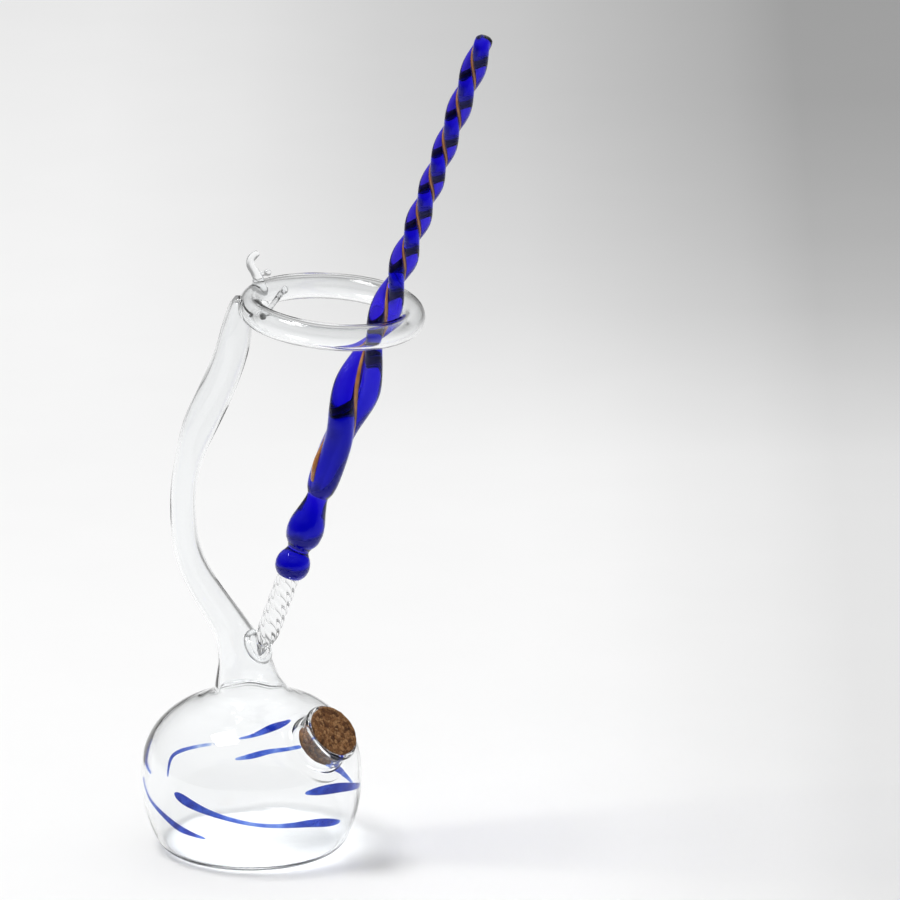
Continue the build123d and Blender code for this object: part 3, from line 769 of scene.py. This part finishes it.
def stringer(name, side, start, swell):
    """Thread in a valley: an ellipse lying on the barrel's skin, carried down the twist.
    Near the waist one thread swells out of its valley, where it was melted on."""
    s = np.concatenate([np.linspace(start, start + 0.8, 8)[:-1], np.linspace(start + 0.8, 175.6, 480),
                        np.linspace(175.6, 176.4, 8)[1:]])
    b = strands(hermite(s, BARREL[:, 0], BARREL[:, 1]), hermite(s, BARREL[:, 0], BARREL[:, 2]),
                0.5 * math.pi)
    turn = twist(s)
    pitch = np.abs(np.gradient(turn, s))
    lean = np.hypot(1.0, b * pitch)
    e = np.minimum(s - start + 0.01, 176.41 - s) / 0.8
    cap = np.sqrt(np.clip(1 - (1 - np.clip(e, 0, 1)) ** 2, 0.003, 1))
    bulge = swell * np.exp(-((s - 55.5) / 4.5) ** 2)
    hw, hd = 0.62 * cap * lean * (1 + 0.35 * bulge), (0.42 + 0.45 * bulge) * cap
    mid = b - 0.28 + 0.5 * bulge
    q = np.arange(14) * TAU / 14
    ang = (turn + side * math.pi / 2)[:, None] + (hw / mid)[:, None] * np.sin(q)
    r = mid[:, None] + hd[:, None] * np.cos(q)
    obj = solid(name, skin(along_pen(s[:, None] + 0 * q, r, ang)))
    return finish_piece(obj, AMBER, "pen", "amber_glass")


for tag, side, start, swell in (("a", 1, 50.5, 1.0), ("b", -1, 56.0, 0.0)):
    o = stringer("amber_thread_" + tag, side, start, swell)
    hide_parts("amber_stringer_" + tag)


FLUTES = 9
FLUTE_DEPTH = 0.36
FLUTE_PITCH = 36.0        # one turn of the flutes


def nib_skin():
    """Nib: a round rod with nine rounded grooves that wind round it and draw to a point."""
    s = np.concatenate([np.linspace(0.0, 2.0, 16)[:-1], np.linspace(2.0, 23.5, 120)])
    r = hermite(s, [0.0, 0.5, 1.2, 3.0, 5.0, 7.5, 12.0, 18.0, 23.5],
                [0.32, 0.62, 1.05, 1.85, 2.6, 3.0, 3.05, 3.05, 3.0])
    u = np.arange(144) * TAU / 144
    deep = FLUTE_DEPTH * np.clip(r / 2.0, 0, 1)[:, None]
    groove = deep - deep * np.abs(np.sin(0.5 * FLUTES * u))
    return along_pen(s[:, None] + 0 * u, r[:, None] - groove, u - (TAU * s / FLUTE_PITCH)[:, None])


nib = solid("fluted_nib", skin(nib_skin()))
finish_piece(nib, NIB_GLASS, "pen", "clear_glass", "nib")


# ---------------------------------------------------------------- cork
CORK_RADIUS = 7.15        # at the outer face
CORK_TAPER = 0.13         # loss of radius per mm
CORK_LENGTH = 8.2


def cork_skin():
    """Tapered plug with a worn rim; sums of waves at granule size roughen its whole skin."""
    face = np.linspace(0.03, 1.0, 26)[:-1] * 6.65
    down = np.linspace(0.7, 7.8, 36)
    rows = np.concatenate([
        np.stack([face, 0 * face], axis=1),
        [(6.65, 0.0), (6.85, -0.06), (7.02, -0.2), (7.08, -0.45)],
        np.stack([CORK_RADIUS - CORK_TAPER * down, -down], axis=1),
        [(5.95, -8.05), (5.7, -CORK_LENGTH)],
        np.stack([np.linspace(5.6, 0.2, 12), np.full(12, -CORK_LENGTH)], axis=1)])
    g = turned(rows, 120)
    p = g - CORK_FACE
    w = np.zeros(g.shape[:2])
    rng = np.random.default_rng(7)
    for k in range(36):
        f = rng.normal(size=3) * (2.2 if k < 18 else 4.5)
        w += (1.0 if k < 18 else 0.6) * np.sin(p @ f + rng.uniform(0, TAU))
    w = np.clip(w / 6.0, -1, 1) - 1.0
    n = unit(np.cross(np.gradient(g, axis=0), np.roll(g, -1, axis=1) - np.roll(g, 1, axis=1)))
    n *= np.sign((n * p).sum(-1) + 1e-9)[..., None]
    return g + n * (0.06 * w)[..., None]


cork = solid("cork_plug", skin(cork_skin()))
finish_piece(cork, CORK, "cork", "cork", "cork_stopper")

# ---------------------------------------------------------------- floor, light and camera
def pale_table():
    """White sheet with painted shade: its colour greys towards the far right and towards the back, where the
    light falls off.
    """
    mat, nt, bsdf, out = blank("pale_table")
    place = object_place(nt)
    part = nt.nodes.new("ShaderNodeSeparateXYZ")
    link(nt, place, part.inputs[0])
    # painted shade: the colour greys towards the far right, standing in for the key light falling off across
    # the table
    across = span(nt, part.outputs[0], -0.06, 0.165)
    near = ramp(nt, across, greys([
        (0.0, 0.90), (0.2, 0.905), (0.6, 0.925), (0.7, 0.912), (0.8, 0.87), (0.9, 0.84), (1.0, 0.785)]))
    afar = ramp(nt, across, greys([
        (0.0, 0.97), (0.2, 0.90), (0.4, 0.765), (0.6, 0.69),
        (0.7, 0.625), (0.8, 0.566), (0.9, 0.51), (1.0, 0.42)]))
    # painted shade: the mix turns from the near greys to the darker far greys towards the back, standing in
    # for light falling off with distance
    depth = ramp(nt, span(nt, part.outputs[1], 0.30, 0.80), greys([
        (0.0, 0.0), (0.1, 0.04), (0.26, 0.33), (0.41, 0.62), (0.57, 0.80), (0.73, 0.91), (0.9, 1.0)]))
    sheet = nt.nodes.new("ShaderNodeMixRGB")
    link(nt, depth, sheet.inputs[0])
    link(nt, near, sheet.inputs[1])
    link(nt, afar, sheet.inputs[2])
    fleck = nt.nodes.new("ShaderNodeMixRGB")
    fleck.blend_type = "MULTIPLY"
    fleck.inputs[0].default_value = 1.0
    link(nt, sheet.outputs[0], fleck.inputs[1])
    link(nt, ramp(nt, noise(nt, place, 30.0, 3.0), greys([(0.3, 0.99), (0.7, 1.0)])), fleck.inputs[2])
    link(nt, fleck.outputs[0], bsdf.inputs["Base Color"])
    bsdf.inputs["Roughness"].default_value = 0.7
    bsdf.inputs["Specular IOR Level"].default_value = 0.1
    return mat


mesh = bpy.data.meshes.new("table_top")
mesh.from_pydata([(-6, -6, 0), (6, -6, 0), (6, 6, 0), (-6, 6, 0)], [], [(0, 1, 2, 3)])
floor = bpy.data.objects.new("table_top", mesh)
bpy.context.scene.collection.objects.link(floor)
mesh.materials.append(pale_table())


def softbox(name, place, aim, size, power):
    data = bpy.data.lights.new(name, "AREA")
    data.shape = "RECTANGLE"
    data.size, data.size_y = size
    data.energy = power
    o = bpy.data.objects.new(name, data)
    o.location = place
    o.rotation_euler = (Vector(aim) - Vector(place)).to_track_quat("-Z", "Y").to_euler()
    bpy.context.scene.collection.objects.link(o)


softbox("key_left", (-0.42, -0.04, 1.22), (0.02, 0.0, 0.05), (0.40, 0.40), 8.8)


def studio_world():
    """Soft white light from overhead, dim at the horizon and a little brighter behind."""
    world = bpy.data.worlds.new("studio")
    world.use_nodes = True
    nt = world.node_tree
    sky = nt.nodes["Background"]
    way = nt.nodes.new("ShaderNodeSeparateXYZ")
    link(nt, nt.nodes.new("ShaderNodeTexCoord").outputs["Generated"], way.inputs[0])
    overhead = ramp(nt, way.outputs[2], greys([(0.0, 0.03), (0.30, 0.05), (0.6, 0.8), (0.8, 1.0)]))
    behind = ramp(nt, span(nt, way.outputs[1], -0.75, 0.6), greys([(0.0, 0.13), (0.4, 0.40), (1.0, 0.6)]))
    both = nt.nodes.new("ShaderNodeMixRGB")
    both.blend_type = "ADD"
    both.inputs[0].default_value = 1.0
    link(nt, overhead, both.inputs[1])
    link(nt, behind, both.inputs[2])
    link(nt, both.outputs[0], sky.inputs["Color"])
    sky.inputs["Strength"].default_value = 0.53
    return world


bpy.context.scene.world = studio_world()
bpy.context.scene.view_settings.view_transform = "Standard"

HALF_VIEW = 0.1184        # half the width seen at the object
target = Vector((52.6 * MM, 0, 109.25 * MM))
elev = math.radians(17.0)
cam_data = bpy.data.cameras.new("camera")
cam_data.lens = 500.0
cam_data.sensor_width = 36.0
cam_data.clip_end = 50.0
far = HALF_VIEW * cam_data.lens / (0.5 * cam_data.sensor_width)
cam = bpy.data.objects.new("camera", cam_data)
cam.location = target + Vector((0, -math.cos(elev), math.sin(elev))) * far
cam.rotation_euler = (math.radians(90.0) - elev, 0, 0)
bpy.context.scene.collection.objects.link(cam)
bpy.context.scene.camera = cam
